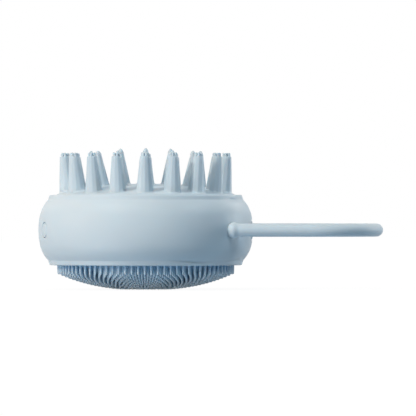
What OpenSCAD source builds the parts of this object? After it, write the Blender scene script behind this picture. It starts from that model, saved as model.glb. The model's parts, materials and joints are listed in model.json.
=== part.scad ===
// Handheld scalp massager. A soft round body carries lobed massage tines on its upper face,
// a bristle brush on its lower face, and a carrying loop at its side. A sealed two-shell
// housing inside holds a cell, a circuit board and a motor that spins an eccentric weight.
// Origin: on the barrel's axis, on the flat that the brush stands on. +X runs along the loop,
// +Z points up through the tines.

/* [Body] */
// Outside diameter at the mid-plane
body_d = 80; // [76:0.5:84]
// Height of the mid-plane above the flat that the brush stands on
mid_z = 22.1; // [22:0.05:22.4]
// Section radius of the flatter middle of the side
side_r = 26; // [24:0.5:30]
// Section radius of the shoulders
shoulder_r = 12; // [11.5:0.25:13]
// Angle at which the side hands over to the shoulder, degrees
blend_deg = 12.2; // [11:0.1:13]
// Wall of the soft skin
skin_t = 2.2; // [1.9:0.1:2.3]
// Half of the height between the rims of the two lips
lip_z = 13.08; // [13:0.02:13.3]
// Outside radius of a lip at its rim
lip_r = 35.9; // [35.6:0.1:36.1]
// Inside radius of a lip
lip_in_r = 33.3; // [33.2:0.05:33.5]

/* [Massage head] */
// Height of the dome's middle above the mid-plane
dome_top = 17.25; // [17:0.05:17.6]
// Fall of the dome from its middle to its edge
dome_drop = 3.99; // [3.8:0.01:4.2]
// How late the dome curves down, as a power of the radius
dome_power = 2.8; // [2.4:0.1:3.2]
// Tines in the rings, from the middle outwards
tines_in_ring = [1, 6, 12, 18];
// Radius of each ring at the tines' feet
ring_r = [0, 10.3, 19.2, 29.25];
// Outward lean of the tines in each ring, degrees
ring_lean = [0, 2.2, 5.2, 5.4];
// Height of the tips of each ring above the mid-plane
ring_tip_z = [30.6, 30.3, 29.5, 28.7];
// Foot radius of a tine
tine_foot_r = 3.35; // [3:0.05:3.5]
// Radius of an outer tine at its shoulder, under the crown
crown_r = 1.94; // [1.8:0.02:2]
// Height of the little teats of a crown
crown_h = 1.45; // [1.2:0.05:1.6]
// Radius of an inner tine where its rounded point starts
point_r = 1.0; // [0.9:0.02:1.1]
// Height of that rounded point
point_h = 1.6; // [1.4:0.1:1.8]
// Lobes round a tine
lobes = 6; // [5:1:8]
// Depth of the flutes between the lobes, as a share of the radius
flute = 0.12; // [0.06:0.01:0.16]

/* [Brush] */
// Rings of bristles round the middle one: ring k has 6 k bristles
bristle_rings = 10; // [10:1:11]
// Radius of the outermost ring
bristle_ring_r = 32.4; // [32:0.1:32.4]
// Length of a bristle above its backing
bristle_h = 3.5; // [3.3:0.1:3.6]
// Half of a bristle's width at its root
bristle_root_r = 0.75; // [0.6:0.01:0.8]
// Half of its width where its point starts
bristle_neck_r = 0.55; // [0.4:0.01:0.6]
// Depth of the brush's dome from its middle to its edge
brush_drop = 6.8; // [6.6:0.05:7]
// How late the brush curves up, as a power of the radius
brush_power = 2.5; // [2.3:0.1:2.8]
// Depth that the flat cuts off the middle tips
rest_cut = 0.5; // [0.4:0.1:0.6]

/* [Loop] */
// Radius of the loop's round section
loop_r = 2.45; // [2.2:0.05:2.6]
// Distance of each leg from the middle line
leg_y = 23.75; // [23.4:0.05:24]
// Where the legs turn into the half-round end
bend_x = 62.2; // [55:0.1:70]
// Radius of the collar where a leg enters the body
collar_r = 3.1; // [3:0.05:3.2]
// Inner end of the legs
leg_in_x = 22.5; // [22.4:0.1:23]

/* [Button] */
// Direction of the button from +X, degrees
button_az = 200; // [198:1:202]
// Radius of the button's face
button_r = 2.6; // [2.4:0.05:2.7]
// Gap round the button's face
button_gap = 0.3; // [0.25:0.05:0.4]
// Travel of the button
button_travel = 0.5; // [0.3:0.05:0.5]

/* [Charging port] */
// Length of the port's cover along the barrel
cover_len = 17; // [16.6:0.1:17.2]
// Height of the cover
cover_h = 7.1; // [6.9:0.1:7.3]
// Gap round the cover
cover_gap = 0.3; // [0.25:0.05:0.35]
// How far the cover stands proud of the barrel
cover_proud = 0.17; // [0.1:0.01:0.2]
// Width and height of the socket's shell
socket_w = 8.94; // [8.9:0.01:9]
socket_h = 3.2; // [3.16:0.01:3.26]

/* [Housing] */
// Wall of the hard shells
shell_t = 1.8; // [1.6:0.1:1.9]
// Height of the parting of the shells above the mid-plane
split_z = 5.2; // [5.2:0.1:5.6]
// Directions of the screws that join the shells, degrees
boss_az = [24, 105, 172, 240, 336];
// Radius on which those screws stand
boss_ring_r = 30.5; // [30.4:0.1:30.6]
// Outside radius of a screw boss
boss_r = 2.7; // [2.5:0.1:2.7]

/* [Works] */
// Radius of the motor's can
motor_r = 12.2; // [11.8:0.1:12.2]
// Length of the motor's can
motor_h = 12.4; // [12:0.1:12.6]
// Radius of the motor's shaft
shaft_r = 1.0; // [0.9:0.05:1]
// Running clearance of the shaft in its bushes
run_gap = 0.03; // [0.02:0.01:0.08]
// Radius of the eccentric weight
weight_r = 11; // [9:0.5:12]
// Radius of the cell
cell_r = 7; // [6.5:0.1:7]
// Length of the cell
cell_len = 43; // [40:0.5:43]
// Direction of the cell's middle, degrees
cell_az = 105; // [103:1:107]
// Thickness of the circuit board
board_t = 1.2; // [1:0.1:1.2]

/* [Hidden] */
$fn = 72;

// Colours
skin = "#b9ccd8";
hard_plastic = "#e9ebe8";
board_green = "#2f6b46";
black = "#26282b";
steel = "#b7bbbf";
brass = "#c9a659";
copper = "#b5703c";
foam_grey = "#6d7377";
rubber_grey = "#3d4347";
cell_blue = "#3f6f9e";

// Gap between the soft skin and the shells, and how far surfaces run into each other to join
seat_gap = 0.1;
sink = 0.4;

// Section of the side
body_r = body_d / 2;
shoulder_c = [body_r - side_r + (side_r - shoulder_r) * cos(blend_deg),
              (side_r - shoulder_r) * sin(blend_deg)];
shell_inset = skin_t + seat_gap;
room_inset = shell_inset + shell_t;

// Steps in the section, the same above and below the mid-plane
neck_z = 11.1;
neck_r = 36.25;
flange_z = 10.6;
flange_t = 1.4;
flange_r = 34.8;
face_r = lip_in_r - 0.1;
step_r = 31.5;
room_flat_z = flange_z - shell_t;
room_flat_r = 29.7;

// Domes
brush_tip_z = -mid_z - rest_cut;
brush_edge_r = 33.05;
slice_t = 0.8;
slice_gap = 0.25;
slice_in_r = 31.9;
root_sink = 0.4;
bristle_sides = 3;
bristle_turn = 53;
ledge_z = -11.9;
dome_steps = 6;
dome_fn = 36;
dome_turn = 2.3;
// A faceted bore clears a round step by its flats, so its corners stand further out
head_in_r = (step_r + seat_gap) / cos(180 / dome_fn);
brush_fn = 30;
brush_steps = 5;

// Tines
ring_points = 18;
foot_sink = 1.0;
teat_r = 0.52;
teat_ring_r = 1.05;

// Loop anchors
anchor_head_r = 3.9;
anchor_head_t = 1.5;
anchor_shank_r = 1.1;
anchor_shank_len = 6;

// Button
cap_in_r = 37.75;
cap_flange_r = 3.5;
cap_flange_t = 0.6;
cap_pocket_r = 3.8;
stem_r = 1.6;
stem_in_r = 33.4;
guide_r = 3.6;
guide_in_r = 33.9;

// Charging port
recess_x = 38.45;
cover_in_x = 38.55;
opening_w = 10.2;
opening_h = 4.5;
stub_w = 9.6;
stub_h = 3.9;
stub_in_x = 37.75;
hinge_x = 38.9;
hinge_y = 9.0;
hinge_bead_r = 0.45;
hinge_h = 3.4;
strap_end_y = 11.4;
socket_mouth_x = 37.6;
socket_len = 7.3;
socket_wall = 0.3;

// Housing
rim_in_r = 34.2;
rim_h = 1.8;
seal_r = 35.7;
seal_section_r = 0.49;
groove_w = 1.3;
groove_h = 1.0;
screw_r = 1.0;
screw_head_r = 1.9;
screw_head_h = 1.2;
screw_seat_z = -6.5;
screw_tip_z = 8.2;
counterbore_r = 2.05;

// Board
board_top = -socket_h / 2;
board_r = 33.2;
board_hole_r = 15.4;
board_post_az = [215, 270, 325];
board_post_r = 24;
post_r = 2.3;

// Motor: the axis is the barrel's axis
motor_top = -0.3;
motor_floor = motor_top - motor_h;
can_t = 0.8;
boot_t = 1.0;
cradle_t = 1.5;
cradle_top = -5;
clamp_az = 30;
clamp_post_r = 17.6;
clamp_t = 1.5;
motor_boss_r = 3.0;
bush_r = 1.9;
lead_az = 300;

// Cell
cell_ring_r = 20.5;
cell_z = -1.5;
pad_t = 0.3;

// ---------------------------------------------------------------- placing

// Puts what is drawn round the mid-plane at its height over the rest flat
module at_mid() {
    translate([0, 0, mid_z]) children();
}

// Turns +X to a direction round the axis and moves out along it
module at_az(az, r = 0, z = 0) {
    rotate([0, 0, az]) translate([r, 0, z]) children();
}

// A rod along X from x0 to x1
module rod_x(r, x0, x1) {
    translate([x0, 0, 0]) rotate([0, 90, 0]) cylinder(h = x1 - x0, r = r);
}

// A bar along X with a stadium section: w wide along Y, h high along Z
module stadium_x(w, h, x0, x1) {
    translate([x0, 0, 0]) rotate([90, 0, 90]) linear_extrude(x1 - x0) {
        square([w - h, h], center = true);
        for (s = [-1, 1])
            translate([s * (w - h) / 2, 0]) circle(h / 2);
    }
}

// A ring about Z
module tube(r_in, r_out, z0, z1) {
    translate([0, 0, z0]) difference() {
        cylinder(h = z1 - z0, r = r_out);
        translate([0, 0, -1]) cylinder(h = z1 - z0 + 2, r = r_in);
    }
}

// A block centred on the X axis, from x0 to x1, w wide and from z0 to z1
module block(x0, x1, w, z0, z1) {
    translate([x0, -w / 2, z0]) cube([x1 - x0, w, z1 - z0]);
}

// A screw along Z with its head's seat at z0 and its tip at z1, up or down
module screw(z0, z1) {
    up = z1 > z0 ? 1 : -1;
    translate([0, 0, min(z0, z1)]) cylinder(h = abs(z1 - z0), r = screw_r - 0.02);
    difference() {
        translate([0, 0, up > 0 ? z0 - screw_head_h : z0]) cylinder(h = screw_head_h, r = screw_head_r);
        translate([0, 0, z0 - up * screw_head_h])
            for (turn = [0, 90])
                rotate(turn) cube([2.2, 0.5, 1.2], center = true);
    }
}

// ---------------------------------------------------------------- sections

// Half section of the barrel, moved inwards by inset, cut to a band of heights
module side_2d(inset, z0, z1) {
    blend_z = (side_r - inset) * sin(blend_deg);
    top_z = shoulder_c[1] + shoulder_r - inset - 0.2;
    intersection() {
        translate([0, z0]) square([body_d, z1 - z0]);
        union() {
            intersection() {
                translate([body_r - side_r, 0]) circle(side_r - inset);
                translate([0, -blend_z]) square([body_d, 2 * blend_z]);
            }
            for (s = [-1, 1])
                intersection() {
                    translate([shoulder_c[0], s * shoulder_c[1]]) circle(shoulder_r - inset);
                    translate([0, s > 0 ? blend_z : -top_z]) square([body_d, top_z - blend_z]);
                }
            translate([0, -top_z]) square([shoulder_c[0], 2 * top_z]);
        }
    }
}

function dome_z(r) = dome_top - dome_drop * pow(r / lip_in_r, dome_power);
function brush_z(r) = brush_tip_z + brush_drop * pow(r / brush_edge_r, brush_power);

// Points along a dome from the axis to radius r1
function dome_points(r1, lift) =
    [for (i = [0:dome_steps]) let(r = r1 * i / dome_steps) [r, dome_z(r) + lift]];
function brush_points(r1, lift, steps = dome_steps) =
    [for (i = [0:steps]) let(r = r1 * i / steps) [r, brush_z(r) + lift]];
function reversed(list) = [for (i = [len(list) - 1:-1:0]) list[i]];

// Half section of everything inside the upper dome or over the lower dome, down to the mid-plane
module under_dome_2d(r1, lift) {
    polygon(concat([[0, 0]], dome_points(r1, lift), [[r1, 0]]));
}
module over_brush_2d(r1, lift) {
    polygon(concat([[0, 0]], brush_points(r1, lift), [[r1, 0]]));
}

// ---------------------------------------------------------------- soft outer pieces

// Half section of a lip and the groove that the flange of the soft face sits in
lip_points = [[flange_r + seat_gap, neck_z - 0.8], [neck_r, neck_z - 0.8], [neck_r, 11.4], [36.05, 11.9],
              [lip_r, 12.6], [lip_r - 0.17, 12.95], [lip_r - 0.5, lip_z], [lip_in_r, lip_z],
              [lip_in_r, flange_z + flange_t], [flange_r + seat_gap, flange_z + flange_t]];

module side_sleeve() {
    color(skin) at_mid() difference() {
        rotate_extrude() {
            difference() {
                side_2d(0, -neck_z, neck_z);
                side_2d(skin_t, -flange_z, flange_z);
                translate([0, -neck_z - 1]) square([lip_in_r, 2 * neck_z + 2]);
                for (z = [-neck_z - 1, flange_z])
                    translate([0, z]) square([flange_r + seat_gap, neck_z + 1 - flange_z]);
            }
            polygon(lip_points);
            polygon([for (p = reversed(lip_points)) [p[0], -p[1]]]);
        }
        at_az(button_az) {
            rod_x(button_r + button_gap, 30, 45);
            rod_x(cap_pocket_r, 30, 38.7);
        }
        stadium_x(cover_len + 2 * cover_gap, cover_h + 2 * cover_gap, recess_x, 45);
        stadium_x(opening_w, opening_h, 30, 45);
        translate([37.9, hinge_y - 1, -hinge_h / 2 - 0.05]) cube([5, strap_end_y - hinge_y + 1.05, hinge_h + 0.1]);
        for (s = [-1, 1])
            translate([0, s * leg_y, 0]) rod_x(collar_r, 20, 45);
    }
}

// A point of a lobed ring: the radius swells and shrinks once for each lobe
function lobed_ring(r, z) =
    [for (i = [0:ring_points - 1])
        let(a = 360 * i / ring_points, lobed_r = r * (1 - flute * (1 - cos(lobes * a)) / 2))
            [lobed_r * cos(a), lobed_r * sin(a), z]];

// A closed skin over a stack of rings that have the same number of points
module stacked(rings) {
    n = len(rings[0]);
    last = len(rings) - 1;
    polyhedron(
        points = [for (ring = rings) for (p = ring) p],
        faces = concat(
            [[for (i = [0:n - 1]) i]],
            [for (k = [0:last - 1]) for (i = [0:n - 1])
                let(a = k * n + i, b = k * n + (i + 1) % n) each [[a, a + n, b], [b, a + n, b + n]]],
            [[for (i = [n - 1:-1:0]) last * n + i]]));
}

// Outer tine: a fluted cone with a crown of little teats round a pit
module crown_tine(h) {
    stacked([lobed_ring(tine_foot_r, 0), lobed_ring(crown_r, h - crown_h)]);
    for (i = [0:lobes - 1])
        rotate((i + 0.5) * 360 / lobes) translate([teat_ring_r, 0, h - crown_h - 0.2]) hull() {
            cylinder(h = crown_h - 0.3, r = teat_r, $fn = 5);
            cylinder(h = crown_h + 0.2, r = teat_r / 2, $fn = 5);
        }
}

// Inner tine: a fluted cone that runs out in a rounded point
module point_tine(h) {
    stacked([lobed_ring(tine_foot_r, 0), lobed_ring(point_r, h - point_h),
             lobed_ring(0.82 * point_r, h - 0.45 * point_h), lobed_ring(0.35 * point_r, h)]);
}

module massage_head() {
    color(skin) at_mid() union() {
        rotate([0, 0, dome_turn]) rotate_extrude($fn = dome_fn)
            polygon(concat(
                dome_points(face_r, 0),
                [[face_r, flange_z + flange_t], [flange_r, flange_z + flange_t], [flange_r, flange_z],
                 [head_in_r, flange_z]],
                reversed(dome_points(head_in_r, -skin_t))));
        for (k = [0:len(tines_in_ring) - 1])
            let(foot_z = dome_z(ring_r[k]) - foot_sink, h = (ring_tip_z[k] - foot_z) / cos(ring_lean[k]))
                for (i = [0:tines_in_ring[k] - 1])
                    at_az(-90 + i * 360 / tines_in_ring[k], ring_r[k], foot_z)
                        rotate([0, ring_lean[k], 0]) {
                            if (k == len(tines_in_ring) - 1) crown_tine(h);
                            else point_tine(h);
                        }
    }
}

module brush_pad() {
    color(skin) at_mid() rotate_extrude()
        polygon(concat(
            brush_points(step_r - 0.1, bristle_h + slice_t + slice_gap),
            [[step_r + 0.1, ledge_z], [face_r, ledge_z], [face_r, -flange_z - flange_t],
             [flange_r, -flange_z - flange_t], [flange_r, -flange_z], [step_r + seat_gap, -flange_z]],
            reversed(brush_points(step_r + seat_gap, bristle_h + skin_t))));
}

// Foot, neck and tip of one bristle at radius r and direction a
function bristle_points(r, a) =
    let(x = r * cos(a), y = r * sin(a), tip = brush_z(r),
        corners = [for (q = [0:bristle_sides - 1]) let(c = a + bristle_turn + 360 * q / bristle_sides) [cos(c), sin(c)]],
        root = [for (c = corners) [x, y] + bristle_root_r * c])
        concat(
            [for (p = root) [p[0], p[1], brush_z(norm(p)) + bristle_h + root_sink]],
            [for (c = corners) [x + bristle_neck_r * c[0], y + bristle_neck_r * c[1], tip + 0.7]],
            [[x, y, tip]]);

// Every bristle, ring by ring, each ring turned half a step against the one inside it
function brush_spots() =
    [for (k = [0:bristle_rings]) let(n = max(1, 6 * k), r = bristle_ring_r * k / bristle_rings)
        for (i = [0:n - 1]) [r, -90 + (i + (k % 2) / 2) * 360 / n]];

module bristles() {
    spots = brush_spots();
    polyhedron(
        points = [for (s = spots) each bristle_points(s[0], s[1])],
        faces = [for (j = [0:len(spots) - 1]) let(n = bristle_sides, o = (2 * n + 1) * j) each concat(
            [for (q = [1:n - 2]) [o + q + 1, o + q, o]],
            [for (q = [0:n - 1]) let(a = o + q, b = o + (q + 1) % n)
                each [[a, b, a + n], [b, b + n, a + n], [a + n, b + n, o + 2 * n]]])]);
}

// The bristles, fused to the outer slice of their backing and cut flat where the massager stands
module brush_bristles() {
    color(skin) at_mid() resize([2 * face_r, 2 * face_r, 0]) difference() {
        union() {
            rotate_extrude($fn = brush_fn)
                polygon(concat(
                    brush_points(face_r, bristle_h, brush_steps),
                    [[face_r, ledge_z], [slice_in_r, ledge_z]],
                    reversed(brush_points(slice_in_r, bristle_h + slice_t, brush_steps))));
            bristles();
        }
        translate([0, 0, -mid_z - 5]) cube([80, 80, 10], center = true);
    }
}

// ---------------------------------------------------------------- loop

module carry_loop() {
    color(skin) at_mid() difference() {
        union() {
            for (s = [-1, 1])
                translate([0, s * leg_y, 0]) {
                    rod_x(loop_r, leg_in_x, bend_x);
                    rod_x(collar_r, 29.5, 33.3);
                    translate([33.3, 0, 0]) rotate([0, 90, 0]) cylinder(h = 0.9, r1 = collar_r, r2 = loop_r + 0.02);
                }
            translate([bend_x, 0, 0]) rotate([0, 0, -90]) rotate_extrude(angle = 180)
                translate([leg_y, 0]) circle(loop_r);
        }
        for (s = [-1, 1])
            translate([0, s * leg_y, 0]) rod_x(anchor_shank_r, leg_in_x - 1, leg_in_x + anchor_shank_len);
    }
}

// Two plugs whose heads hold the loop's ends inside the housing
module loop_anchors() {
    color(hard_plastic) at_mid()
        for (s = [-1, 1])
            translate([0, s * leg_y, 0]) {
                rod_x(anchor_head_r, leg_in_x - anchor_head_t, leg_in_x);
                rod_x(anchor_shank_r, leg_in_x - 0.5, leg_in_x + anchor_shank_len - 0.2);
            }
}

// ---------------------------------------------------------------- button

// The solid barrel, to trim what must follow its surface
module barrel(proud) {
    rotate_extrude($fn = 240) side_2d(-proud, -neck_z + 1, neck_z - 1, $fn = 240);
}

module button_cap() {
    color(skin) at_mid() {
        intersection() {
            barrel(0);
            at_az(button_az) rod_x(button_r, cap_in_r, 45);
        }
        at_az(button_az) rod_x(cap_flange_r, cap_in_r, cap_in_r + cap_flange_t);
    }
}

module button_stem() {
    color(hard_plastic) at_mid() at_az(button_az) rod_x(stem_r, stem_in_r, cap_in_r);
}

module button_seal() {
    color(rubber_grey) at_mid() at_az(button_az, 34.55) rotate([0, 90, 0]) rotate_extrude()
        translate([2.15, 0]) circle(0.48);
}

module button_switch() {
    color(black) at_mid() at_az(button_az) difference() {
        block(29.4, 32.4, 4.6, board_top, board_top + 3.3);
        rod_x(0.8, 30.8, 35);
    }
}

module switch_plunger() {
    color(hard_plastic) at_mid() at_az(button_az) rod_x(0.75, 31.4, stem_in_r);
}

// ---------------------------------------------------------------- charging port

module port_cover() {
    color(skin) at_mid() {
        intersection() {
            barrel(cover_proud);
            union() {
                stadium_x(cover_len, cover_h, cover_in_x, 45);
                translate([hinge_x - 0.3, cover_len / 2 - 1.5, -hinge_h / 2 + 0.3])
                    cube([1, hinge_y - hinge_bead_r - 0.1 - cover_len / 2 + 1.5, hinge_h - 0.6]);
            }
        }
        stadium_x(stub_w, stub_h, stub_in_x, cover_in_x + 0.2);
    }
}

// The strap that the cover swings on, seated in its pocket in the sleeve
module cover_hinge() {
    color(skin) at_mid() {
        intersection() {
            barrel(0);
            translate([37.95, hinge_y, -hinge_h / 2]) cube([5, strap_end_y - hinge_y, hinge_h]);
        }
        translate([hinge_x, hinge_y, -hinge_h / 2]) cylinder(h = hinge_h, r = hinge_bead_r);
    }
}

module usb_shell() {
    color(steel) at_mid() difference() {
        stadium_x(socket_w, socket_h, socket_mouth_x - socket_len, socket_mouth_x);
        stadium_x(socket_w - 2 * socket_wall, socket_h - 2 * socket_wall, socket_mouth_x - socket_len + 0.4, 45);
    }
}

module usb_tongue() {
    color(black) at_mid() block(socket_mouth_x - socket_len + 0.4, socket_mouth_x - 0.8, 6.69, -0.35, 0.35);
}

module port_gasket() {
    color(rubber_grey) at_mid() difference() {
        stadium_x(socket_w + 0.5, socket_h + 0.5, 36, 37.3);
        stadium_x(socket_w, socket_h, 35, 38);
    }
}

// ---------------------------------------------------------------- housing

module upper_shell() {
    color(hard_plastic) at_mid() difference() {
        union() {
            rotate_extrude() difference() {
                union() {
                    side_2d(shell_inset, split_z, flange_z);
                    intersection() {
                        under_dome_2d(step_r, -skin_t - seat_gap);
                        translate([0, split_z]) square([body_r, body_r]);
                    }
                }
                difference() {
                    union() {
                        side_2d(room_inset, 0, room_flat_z);
                        under_dome_2d(room_flat_r, -skin_t - seat_gap - shell_t);
                    }
                    translate([rim_in_r, 0]) square([10, split_z + rim_h]);
                }
            }
            for (az = boss_az)
                at_az(az, boss_ring_r, split_z) cylinder(h = room_flat_z + sink - split_z, r = boss_r);
        }
        for (az = boss_az)
            at_az(az, boss_ring_r, split_z - 1) cylinder(h = screw_tip_z + 1.1 - split_z, r = screw_r);
    }
}

// Everything that stands inside the lower shell, before it is trimmed to the room
module lower_fittings() {
    for (az = boss_az)
        at_az(az, boss_ring_r, -20) cylinder(h = 20 + split_z, r = boss_r);
    for (az = board_post_az)
        at_az(az, board_post_r, -20) cylinder(h = 20 + board_top - board_t, r = post_r);
    for (az = [clamp_az, clamp_az + 180])
        at_az(az, clamp_post_r, -20) cylinder(h = 20 + motor_top, r = post_r);
    // seat, ring and side of the motor's cradle, open where the cell lies
    difference() {
        union() {
            translate([0, 0, -20]) cylinder(h = 20 + motor_floor - 1.3, r = motor_r + boot_t + cradle_t);
            tube(motor_r + boot_t, motor_r + boot_t + cradle_t, -20, cradle_top);
        }
        at_cell() rod_y(cell_r + pad_t, 60);
        at_az(lead_az) block(motor_r - 1, 20, 3.4, motor_floor - 1.7, 0);
    }
    // saddles under the cell
    at_cell() difference() {
        for (s = [-1, 1])
            translate([0, s * 13, -10]) cube([15.2, 2, 20], center = true);
        translate([0, 0, 10]) cube([30, 60, 20], center = true);
        rod_y(cell_r + pad_t, 60);
    }
    // blocks that carry the loop's legs
    for (s = [-1, 1])
        translate([leg_in_x, s * leg_y - 4.6, -20]) cube([12, 9.2, 24.6]);
}

// The cell's own place: its middle at the origin, its length along Y, its outer side towards +X
module at_cell() {
    at_az(cell_az, cell_ring_r, cell_z) children();
}

module rod_y(r, length) {
    rotate([90, 0, 0]) cylinder(h = length, r = r, center = true);
}

module lower_shell() {
    color(hard_plastic) at_mid() difference() {
        union() {
            rotate_extrude() difference() {
                union() {
                    side_2d(shell_inset, -flange_z, split_z);
                    over_brush_2d(step_r, bristle_h + skin_t + seat_gap);
                }
                difference() {
                    union() {
                        side_2d(room_inset, -room_flat_z, split_z + 1);
                        over_brush_2d(room_flat_r, bristle_h + skin_t + seat_gap + shell_t);
                        translate([0, -1]) square([rim_in_r, split_z + 2]);
                    }
                    translate([rim_in_r, split_z - rim_h]) square([10, rim_h]);
                }
            }
            intersection() {
                lower_fittings();
                rotate_extrude() union() {
                    side_2d(shell_inset + sink, -flange_z + sink, split_z);
                    over_brush_2d(room_flat_r, bristle_h + skin_t + seat_gap + sink);
                }
            }
            at_az(button_az) rod_x(guide_r, guide_in_r, 36.6);
        }
        translate([0, 0, split_z - groove_h]) tube_cut(seal_r, groove_w, groove_h + 1);
        for (az = boss_az)
            at_az(az, boss_ring_r) {
                translate([0, 0, -20]) cylinder(h = 20 + screw_seat_z, r = counterbore_r);
                translate([0, 0, -20]) cylinder(h = 40, r = screw_r + 0.1);
            }
        for (az = board_post_az)
            at_az(az, board_post_r, -8) cylinder(h = 8, r = screw_r);
        for (az = [clamp_az, clamp_az + 180])
            at_az(az, clamp_post_r, -7) cylinder(h = 8, r = screw_r);
        at_az(button_az) {
            rod_x(stem_r + 0.08, 30, 40);
            rod_x(cap_pocket_r, 37.1, 40);
            rod_x(2.65, 33, 35.1);
        }
        stadium_x(socket_w + 0.5, socket_h + 0.5, 34, 40);
        for (s = [-1, 1])
            translate([0, s * leg_y, 0]) {
                rod_x(loop_r, 20, 40);
                rod_x(collar_r, 29.5, 40);
            }
    }
}

// What a ring-shaped groove takes away: its middle radius, width and depth
module tube_cut(r, w, h) {
    difference() {
        cylinder(h = h, r = r + w / 2);
        translate([0, 0, -1]) cylinder(h = h + 2, r = r - w / 2);
    }
}

module shell_seal() {
    color(rubber_grey) at_mid() translate([0, 0, split_z - groove_h / 2]) rotate_extrude()
        translate([seal_r, 0]) circle(seal_section_r);
}

module shell_screws() {
    color(steel) at_mid()
        for (az = boss_az)
            at_az(az, boss_ring_r) screw(screw_seat_z, screw_tip_z);
}

// ---------------------------------------------------------------- board and what is on it

module circuit_board() {
    color(board_green) at_mid() translate([0, 0, board_top - board_t]) difference() {
        cylinder(h = board_t, r = board_r);
        translate([0, 0, -1]) {
            cylinder(h = 4, r = board_hole_r);
            at_cell() translate([-cell_r - 0.8, -30, -cell_z - 2]) cube([30, 60, 8]);
            for (az = boss_az)
                at_az(az, boss_ring_r) cylinder(h = 4, r = boss_r + 0.4);
            for (az = [clamp_az, clamp_az + 180])
                at_az(az, clamp_post_r) cylinder(h = 4, r = post_r + 0.4);
            for (az = board_post_az)
                at_az(az, board_post_r) cylinder(h = 4, r = screw_r + 0.05);
            for (s = [-1, 1])
                translate([leg_in_x - 2, s * leg_y - 5, 0]) cube([20, 10, 4]);
        }
    }
}

module board_screws() {
    color(steel) at_mid()
        for (az = board_post_az)
            at_az(az, board_post_r) screw(board_top, -7.5);
}

// A flat chip with rows of legs along two of its sides
module chip(w, d, h, legs) {
    translate([-w / 2, -d / 2, 0.1]) cube([w, d, h - 0.1]);
    for (s = [-1, 1]) for (i = [0:legs - 1])
        translate([(i - (legs - 1) / 2) * w / legs - 0.15, s * (d / 2 + 0.3) - 0.4, 0]) cube([0.3, 0.8, 0.3]);
}

module microcontroller() {
    color(black) at_mid() at_az(245, 20.5, board_top) rotate(90) chip(5, 4, 1.1, 5);
}

module charger_chip() {
    color(black) at_mid() at_az(342, 26, board_top) rotate(90) chip(3, 1.7, 1.0, 3);
}

module power_inductor() {
    color(rubber_grey) at_mid() at_az(352, 21, board_top) difference() {
        block(-2, 2, 4, 0, 2.2);
        translate([0, 0, 1.9]) cylinder(h = 1, r = 1.3);
    }
}

module board_capacitors() {
    color(brass) at_mid()
        for (spot = [[228, 29], [233, 29], [255, 27], [282, 28], [288, 28], [348, 28], [262, 20]])
            at_az(spot[0], spot[1], board_top) block(-0.6, 0.6, 2, 0, 0.8);
}

module status_led() {
    color("white") at_mid() at_az(187, 30.5, board_top) block(-0.8, 0.8, 3.2, 0, 0.8);
}

// A small two-way socket: an open box with its pins
module lead_socket() {
    difference() {
        block(-2.2, 2.2, 6, 0, 3.2);
        block(-3, 1.6, 4.8, 0.8, 2.6);
    }
}

module battery_socket() {
    color(hard_plastic) at_mid() translate([21, 2.2, board_top]) rotate(-90) lead_socket();
}

module motor_socket() {
    color(hard_plastic) at_mid() at_az(lead_az, 21.6, board_top) lead_socket();
}

// ---------------------------------------------------------------- leads

function unit(v) = v / norm(v);

// A ring of a lead at point i, square to the way the lead runs there
function lead_ring(path, i, r, side, n) =
    let(t = unit(path[min(i + 1, len(path) - 1)] - path[max(i - 1, 0)]),
        u = unit(side - (side * t) * t),
        v = cross(t, u))
        [for (k = [0:n - 1]) path[i] + r * (cos(360 * k / n) * u + sin(360 * k / n) * v)];

module lead(path, r, side) {
    stacked([for (i = [0:len(path) - 1]) reversed(lead_ring(path, i, r, side, 8))]);
}

// From the protection board at the cell's end to the socket beside the charging port
battery_route = [[17.9, 21.4, -3], [19.0, 20.6, -2.6], [19.5, 19.2, -0.8], [20.1, 16, 0.3], [20.6, 13, 0.6],
                 [20.9, 10, 0.4], [21, 7.5, 0.2], [21, 5.2, 0.15]];

module battery_leads() {
    at_mid()
        for (s = [0, 1])
            color(s == 0 ? "#b02a2a" : black)
                lead([for (p = battery_route) p + [s * 1.7, s * -0.2, 0]], 0.55, [0, 0, 1]);
}

// From the tabs at the motor's foot, up past the board's edge and down into its socket
motor_route = [[12.4, -10.5], [13.2, -10.3], [14.0, -9.2], [14.3, -7], [14.4, -4.5], [14.5, -2], [14.9, 0], [16.2, 1],
               [17.6, 0.8], [18.6, 0.3], [19.6, 0.15]];

module motor_leads() {
    at_mid() at_az(lead_az)
        for (s = [-1, 1])
            color(s < 0 ? "#b02a2a" : black)
                lead([for (p = motor_route) [p[0], s * 0.8, p[1]]], 0.5, [0, 1, 0]);
}

// ---------------------------------------------------------------- cell

module battery_cell() {
    color(cell_blue) at_mid() at_cell() rotate([90, 0, 0]) rotate_extrude()
        polygon([[0, -cell_len / 2], [cell_r - 0.4, -cell_len / 2], [cell_r, -cell_len / 2 + 0.4],
                 [cell_r, cell_len / 2 - 3], [cell_r - 0.5, cell_len / 2 - 2.6], [cell_r - 0.5, cell_len / 2 - 2.2],
                 [cell_r, cell_len / 2 - 1.8], [cell_r, cell_len / 2 - 0.9], [cell_r - 0.4, cell_len / 2 - 0.5],
                 [2.6, cell_len / 2 - 0.5], [2.6, cell_len / 2], [0, cell_len / 2]]);
}

module protection_board() {
    color(board_green) at_mid() at_cell() translate([0, -cell_len / 2 - 0.5, 0])
        rotate([90, 0, 0]) cylinder(h = 0.8, r = cell_r - 1.2, center = true);
}

// Foam strip that beds the cell in its saddles
module battery_pad() {
    color(foam_grey) at_mid() at_cell() difference() {
        rod_y(cell_r + pad_t - 0.02, 30);
        rod_y(cell_r, 40);
        translate([0, 0, 8]) cube([20, 50, 20], center = true);
    }
}

// ---------------------------------------------------------------- motor

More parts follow.
